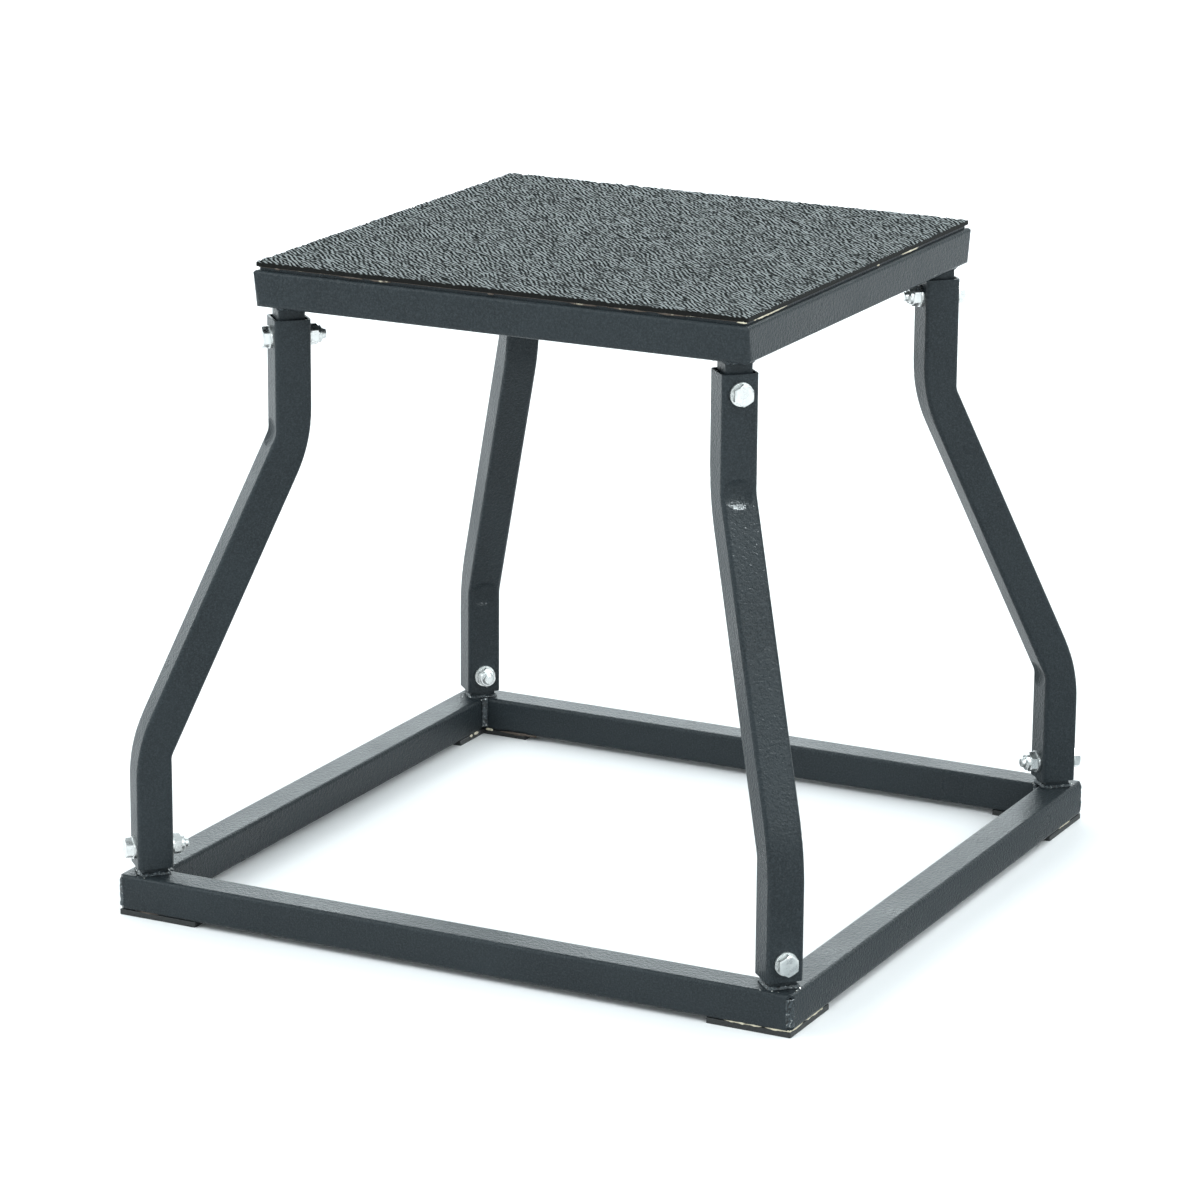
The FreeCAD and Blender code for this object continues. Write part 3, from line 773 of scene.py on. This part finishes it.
class PLYO_OT_foot_pads(bpy.types.Operator):
    """Cut the rubber foot pads"""
    bl_idname = "plyo.foot_pads"
    bl_label = "Foot Pads"

    def execute(self, context):
        feet, glue = context.scene.plyo_box.feet, context.scene.plyo_box.glue
        for corner in CORNERS:
            node = f"foot_pad_{corner}"
            piece = finished_copy(node)
            apply_modifier(piece, "BEVEL", width=feet.edge, segments=2)
            hand_over(piece, finish_of("foot_rubber_finish", foot_rubber, feet), "foot_rubber", node)
        outer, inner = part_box("foot_pad_rear_right")[1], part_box("base_rear_rail")[0]
        height = outer.z + PAST_EDGE
        for name, runs, distance in (("pad_glue_", PAD_GLUE, outer.x - INSIDE_EDGE),
                                     ("inner_pad_glue_", INNER_GLUE, inner.y - PAST_EDGE)):
            for kind, beads in glue_runs(runs, distance, height, PAD_BEAD * glue.bead):
                squeezed = joined(name + kind.split("_")[0], beads)
                hand_over(squeezed, glue_finish(glue, kind), "adhesive")
        return {"FINISHED"}


# Fasteners

LEG_SIDE = 0.0254
NUT_STACK = 0.0096
TAIL_LENGTH = 0.0034
BOLT_RADIUS = 0.004
THREAD_PITCH = 0.00125
THREAD_DEPTH = 0.0006
ROUND_STEPS = 24


def threaded_tail():
    """The end of a bolt beyond its nut, pointing up from the origin: a core with a thread wound round it."""
    bpy.ops.object.select_all(action="DESELECT")
    core_radius = BOLT_RADIUS - THREAD_DEPTH
    bpy.ops.mesh.primitive_cylinder_add(vertices=ROUND_STEPS, radius=core_radius, depth=TAIL_LENGTH,
                                        location=(0.0, 0.0, TAIL_LENGTH / 2))
    core = bpy.context.active_object
    apply_place(core)
    apply_modifier(core, "BEVEL", width=THREAD_DEPTH, segments=2)
    bpy.ops.object.select_all(action="DESELECT")
    bpy.ops.mesh.primitive_circle_add(vertices=3, radius=THREAD_DEPTH,
                                      location=(core_radius, 0.0, THREAD_DEPTH),
                                      rotation=(math.pi / 2, 0.0, 0.0))
    thread = bpy.context.active_object
    open_edit(thread)
    bpy.ops.transform.rotate(value=math.pi / 2, orient_axis="Y", center_override=thread.location)
    close_edit()
    apply_place(thread)
    turns = int((TAIL_LENGTH - 2 * THREAD_DEPTH) / THREAD_PITCH)
    apply_modifier(thread, "SCREW", axis="Z", angle=math.tau, screw_offset=THREAD_PITCH, iterations=turns,
                   steps=ROUND_STEPS, render_steps=ROUND_STEPS, use_smooth_shade=False)
    open_edit(thread)
    bpy.ops.mesh.fill_holes(sides=0)
    bpy.ops.mesh.normals_make_consistent(inside=False)
    close_edit()
    return joined("bolt_tail", [core, thread])


def threaded_bolts(node, stubs):
    """The bolts of one height, each cut off at its nut and given a threaded tail."""
    piece = finished_copy(node)
    low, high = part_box(node)
    tail = threaded_tail()
    tails = []
    for corner, (side_x, side_y) in CORNERS.items():
        outward = Vector((side_x, side_y, 0.0)).normalized()
        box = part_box(f"{stubs}_{corner}")
        axis = (box[0] + box[1]) / 2
        cut = Vector((axis.x, axis.y, (low.z + high.z) / 2)) - outward * (LEG_SIDE / 2 + NUT_STACK)
        open_edit(piece, "DESELECT")
        close_edit()
        for point in piece.data.vertices:
            point.select = point.co.dot(outward) > cut.dot(outward) / 2
        bpy.ops.object.mode_set(mode="EDIT")
        bpy.ops.mesh.bisect(plane_co=cut, plane_no=outward, clear_inner=True, use_fill=True)
        close_edit()
        end = bpy.data.objects.new("bolt_tail_copy", tail.data.copy())
        bpy.context.scene.collection.objects.link(end)
        end.location = cut
        end.rotation_euler = (-outward).to_track_quat("Z", "Y").to_euler()
        apply_place(end)
        tails.append(end)
    bpy.data.objects.remove(tail)
    return joined(node + FINISHED, [piece] + tails)


class PLYO_OT_fasteners(bpy.types.Operator):
    """Plate the bolts, washers and lock nuts"""
    bl_idname = "plyo.fasteners"
    bl_label = "Fasteners"

    def execute(self, context):
        fasteners = context.scene.plyo_box.fasteners
        zinc = finish_of("zinc_finish", zinc_plate, fasteners)
        for node, stubs in (("lower_leg_bolts", "lower_stub"), ("upper_leg_bolts", "upper_stub")):
            hand_over(threaded_bolts(node, stubs), zinc, "zinc", node)
        for node in ("outer_washers", "inner_washers", "lock_nuts"):
            hand_over(finished_copy(node), zinc, "zinc", node)
        nylon = finish_of("nylon_finish", nylon_ring, fasteners)
        hand_over(finished_copy("nut_nylon_rings"), nylon, "nylon", "nut_nylon_rings")
        return {"FINISHED"}


# Stage

FLOOR_SIDE = 60.0
FLAG_WIDTH = 0.35
FLAG_LENGTH = 1.5
FLAG_FROM_BASE = 0.004
FLAG_LIFT = 0.0005
SOFTBOXES = {"rear_light": ((-1.55, 3.07, 1.25), 2.0),
             "glint_light": ((1.0, 0.6, 2.4), 0.7),
             "side_light": ((2.35, -1.05, 1.6), 1.0),
             "key_light": ((-2.2, -1.8, 2.0), 1.6),
             "edge_light": ((-2.8, 1.1, 0.8), 1.4)}


def lay_floor(stage):
    """A wide pale floor under the feet."""
    bpy.ops.object.select_all(action="DESELECT")
    bpy.ops.mesh.primitive_plane_add(size=FLOOR_SIDE, location=(0.0, 0.0, cad_low.z))
    floor = bpy.context.active_object
    floor.name = "studio_floor"
    apply_place(floor)
    floor.data.materials.append(studio_floor(stage))


def lay_flag(stage):
    """A dark card on the floor to the right of the base, seen only where the coat mirrors it: painted shade
    on the floor there, shown only in the coat's reflection.
    """
    middle = cad_high.x + FLAG_FROM_BASE + FLAG_WIDTH / 2
    bpy.ops.object.select_all(action="DESELECT")
    bpy.ops.mesh.primitive_plane_add(size=1.0, location=(middle, FLAG_LENGTH / 4, cad_low.z + FLAG_LIFT))
    flag = bpy.context.active_object
    flag.name = "studio_flag"
    flag.scale = (FLAG_WIDTH, FLAG_LENGTH, 1.0)
    apply_place(flag)
    card = bpy.data.materials.new("studio_flag")
    card.use_nodes = True
    card.node_tree.nodes["Principled BSDF"].inputs["Base Color"].default_value = (*stage.flag, 1.0)
    flag.data.materials.append(card)
    flag.visible_camera = False
    flag.visible_diffuse = False
    flag.visible_shadow = False


def hang_lights(stage):
    """Soft light from all round, brighter overhead, and softboxes."""
    world = bpy.data.worlds.new("studio_surround")
    world.use_nodes = True
    tree = world.node_tree
    background = tree.nodes["Background"]
    background.inputs["Color"].default_value = (*stage.surround, 1.0)
    way = tree.nodes.new("ShaderNodeTexCoord").outputs["Generated"]
    height = add_node(tree, "ShaderNodeSeparateXYZ", Vector=way).outputs["Z"]
    tree.links.new(spread(tree, height, stage.horizon, stage.zenith, start=0.0, end=1.0),
                   background.inputs["Strength"])
    bpy.context.scene.world = world
    for name, (place, side) in SOFTBOXES.items():
        bpy.ops.object.light_add(type="AREA", location=place)
        lamp = bpy.context.active_object
        lamp.name = name
        lamp.rotation_euler = Vector(place).to_track_quat("Z", "Y").to_euler()
        lamp.data.size = side
        lamp.data.energy = getattr(stage, name)
        lamp.data.color = stage.surround
        lamp.visible_diffuse = name != "glint_light"


def stand_camera(stage):
    """The camera where the photograph was taken from."""
    turn, rise = stage.azimuth, stage.elevation
    back = Vector((math.sin(turn) * math.cos(rise), -math.cos(turn) * math.cos(rise), math.sin(rise)))
    level = Vector((math.cos(turn), math.sin(turn), 0.0))
    upright = back.cross(level)
    right = math.cos(stage.roll) * level + math.sin(stage.roll) * upright
    up = math.cos(stage.roll) * upright - math.sin(stage.roll) * level
    bpy.ops.object.camera_add()
    camera = bpy.context.active_object
    camera.name = "photo_camera"
    camera.data.lens = stage.lens
    axes = Matrix((right, up, back)).transposed().to_4x4()
    spot = stage.aim_side * right + stage.aim_rise * up + stage.distance * back
    camera.matrix_world = Matrix.Translation(spot) @ axes
    bpy.context.scene.camera = camera


class PLYO_OT_stage(bpy.types.Operator):
    """Set the floor, the light and the camera"""
    bl_idname = "plyo.stage"
    bl_label = "Stage"

    def execute(self, context):
        stage = context.scene.plyo_box.stage
        lay_floor(stage)
        lay_flag(stage)
        hang_lights(stage)
        stand_camera(stage)
        context.scene.view_settings.view_transform = "Standard"
        return {"FINISHED"}


# Panel and registration

PIECES = (PLYO_OT_base_frame, PLYO_OT_platform_frame, PLYO_OT_legs, PLYO_OT_welds, PLYO_OT_spatter,
          PLYO_OT_adhesive, PLYO_OT_rubber_mat, PLYO_OT_foot_pads, PLYO_OT_fasteners, PLYO_OT_stage)
SETTINGS = (PLYO_PG_coat, PLYO_PG_mat, PLYO_PG_glue, PLYO_PG_weld, PLYO_PG_fasteners, PLYO_PG_feet,
            PLYO_PG_stage, PLYO_PG_box)


class PLYO_PT_panel(bpy.types.Panel):
    """Pieces and settings of the plyo box"""
    bl_idname = "PLYO_PT_panel"
    bl_label = "Plyo Box"
    bl_space_type = "VIEW_3D"
    bl_region_type = "UI"
    bl_category = "Plyo Box"

    def draw(self, context):
        box = context.scene.plyo_box
        for piece in PIECES:
            self.layout.operator(piece.bl_idname)
        for group in box.bl_rna.properties:
            if group.type != "POINTER" or group.identifier == "rna_type":
                continue
            column = self.layout.column(heading=group.identifier.title())
            settings = getattr(box, group.identifier)
            for setting in settings.bl_rna.properties:
                if not setting.is_readonly and setting.identifier != "name":
                    column.prop(settings, setting.identifier)


CLASSES = (*SETTINGS, *PIECES, PLYO_PT_panel)


def register():
    """Add the classes and the scene's settings."""
    for cls in CLASSES:
        bpy.utils.register_class(cls)
    bpy.types.Scene.plyo_box = PointerProperty(type=PLYO_PG_box)


def unregister():
    """Take the classes and settings out again."""
    del bpy.types.Scene.plyo_box
    for cls in reversed(CLASSES):
        bpy.utils.unregister_class(cls)


def main():
    """Build all the pieces in order."""
    register()
    for piece in PIECES:
        family, name = piece.bl_idname.split(".")
        getattr(getattr(bpy.ops, family), name)()


if __name__ == "__main__":
    main()
